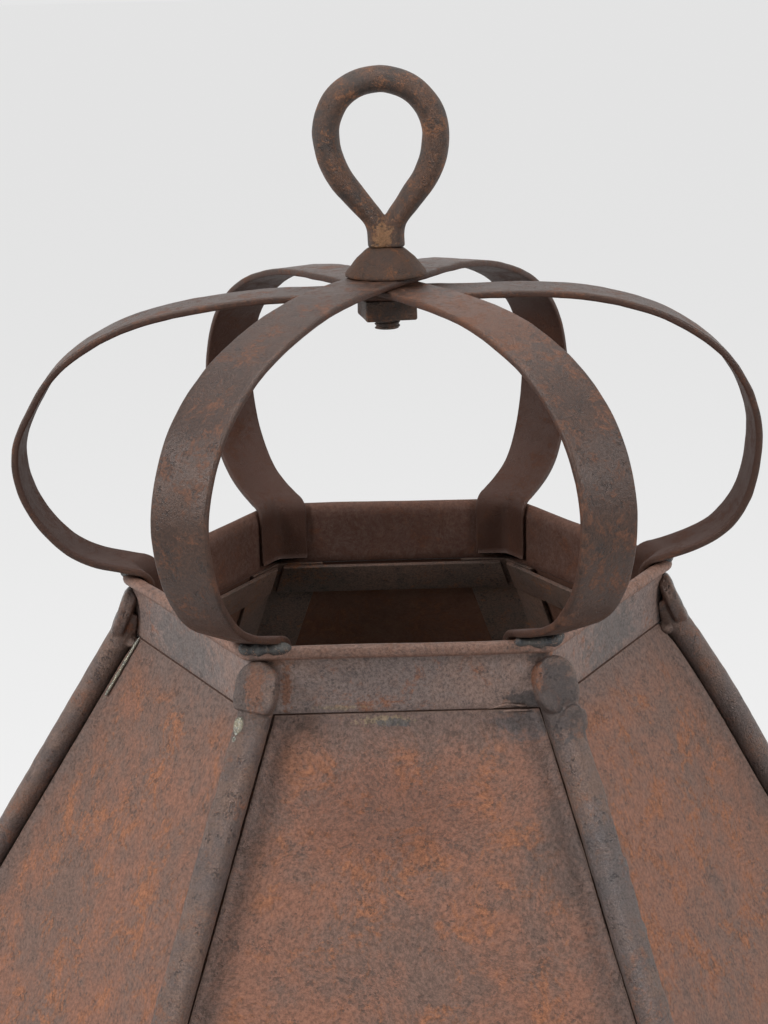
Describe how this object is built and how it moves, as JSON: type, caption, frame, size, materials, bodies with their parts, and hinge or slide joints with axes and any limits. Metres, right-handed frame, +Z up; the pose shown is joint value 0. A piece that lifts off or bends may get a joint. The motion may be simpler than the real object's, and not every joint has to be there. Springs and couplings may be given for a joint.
{
  "type": "hexagonal lantern",
  "caption": "Six-sided iron lantern with a tapering glazed body, steep sheet roof, open collar, crown of crossing straps and a hanging eye.",
  "frame": {"origin": "middle of the underside of the base", "axes": "+Z up through the hanging eye, the glazed door in the face towards -Y"},
  "size_m": [0.5066, 0.4404, 0.8572],
  "materials": {
    "eye_iron": "rust-brown, rough",
    "strap_iron": "dark brown-grey with a dull sheen and rubbed edges",
    "collar_iron": "dark brown-grey, redder along the rolled rim",
    "roof_sheet": "rusty brown with grey-purple mottling and fine pits",
    "bar_iron": "dark brown-grey, pitted",
    "inner_iron": "dark, matt",
    "frame_iron": "dark brown-grey",
    "pane_glass": "clear, slightly green"
  },
  "bodies": {
    "lantern": {"hanging_eye": "eye_iron", "cone_washer": "eye_iron", "square_nut": "eye_iron", "crown_strap_upper": "strap_iron", "crown_strap_middle": "strap_iron", "crown_strap_lower": "strap_iron", "collar_band": "collar_iron", "roof_panel_1": "roof_sheet", "roof_panel_2": "roof_sheet", "roof_panel_3": "roof_sheet", "roof_panel_4": "roof_sheet", "roof_panel_5": "roof_sheet", "roof_panel_6": "roof_sheet", "hip_bar_1": "bar_iron", "hip_bar_2": "bar_iron", "hip_bar_3": "bar_iron", "hip_bar_4": "bar_iron", "hip_bar_5": "bar_iron", "hip_bar_6": "bar_iron", "hip_angle_1": "inner_iron", "hip_angle_2": "inner_iron", "hip_angle_3": "inner_iron", "hip_angle_4": "inner_iron", "hip_angle_5": "inner_iron", "hip_angle_6": "inner_iron", "top_strip_1": "inner_iron", "top_strip_2": "inner_iron", "top_strip_3": "inner_iron", "top_strip_4": "inner_iron", "top_strip_5": "inner_iron", "top_strip_6": "inner_iron", "eaves_frame": "inner_iron", "corner_post_1": "frame_iron", "corner_post_2": "frame_iron", "corner_post_3": "frame_iron", "corner_post_4": "frame_iron", "corner_post_5": "frame_iron", "corner_post_6": "frame_iron", "pane_1": "pane_glass", "pane_2": "pane_glass", "pane_3": "pane_glass", "pane_4": "pane_glass", "pane_5": "pane_glass", "base_frame": "frame_iron", "floor_plate": "inner_iron", "drip_pan": "inner_iron", "candle_cup": "inner_iron", "button_rivet": "frame_iron", "hinge_leaf_lower": "frame_iron", "hinge_leaf_upper": "frame_iron", "hinge_pin_lower": "frame_iron", "hinge_pin_upper": "frame_iron"},
    "door": {"door_frame": "frame_iron", "door_pane": "pane_glass"},
    "button": {"turn_button": "frame_iron"}
  },
  "joints": [
    {"name": "door_hinge", "type": "hinge", "parent": "lantern", "child": "door", "pos_m": [-0.09522, -0.16492, 0.19843], "axis": [0.0522, 0.0903, -0.9945], "range_deg": [0, 110]},
    {"name": "button_turn", "type": "hinge", "parent": "lantern", "child": "button", "pos_m": [0.08892, -0.16234, 0.21412], "axis": [0, -0.9959, -0.0905], "range_deg": [0, 90]}
  ]
}
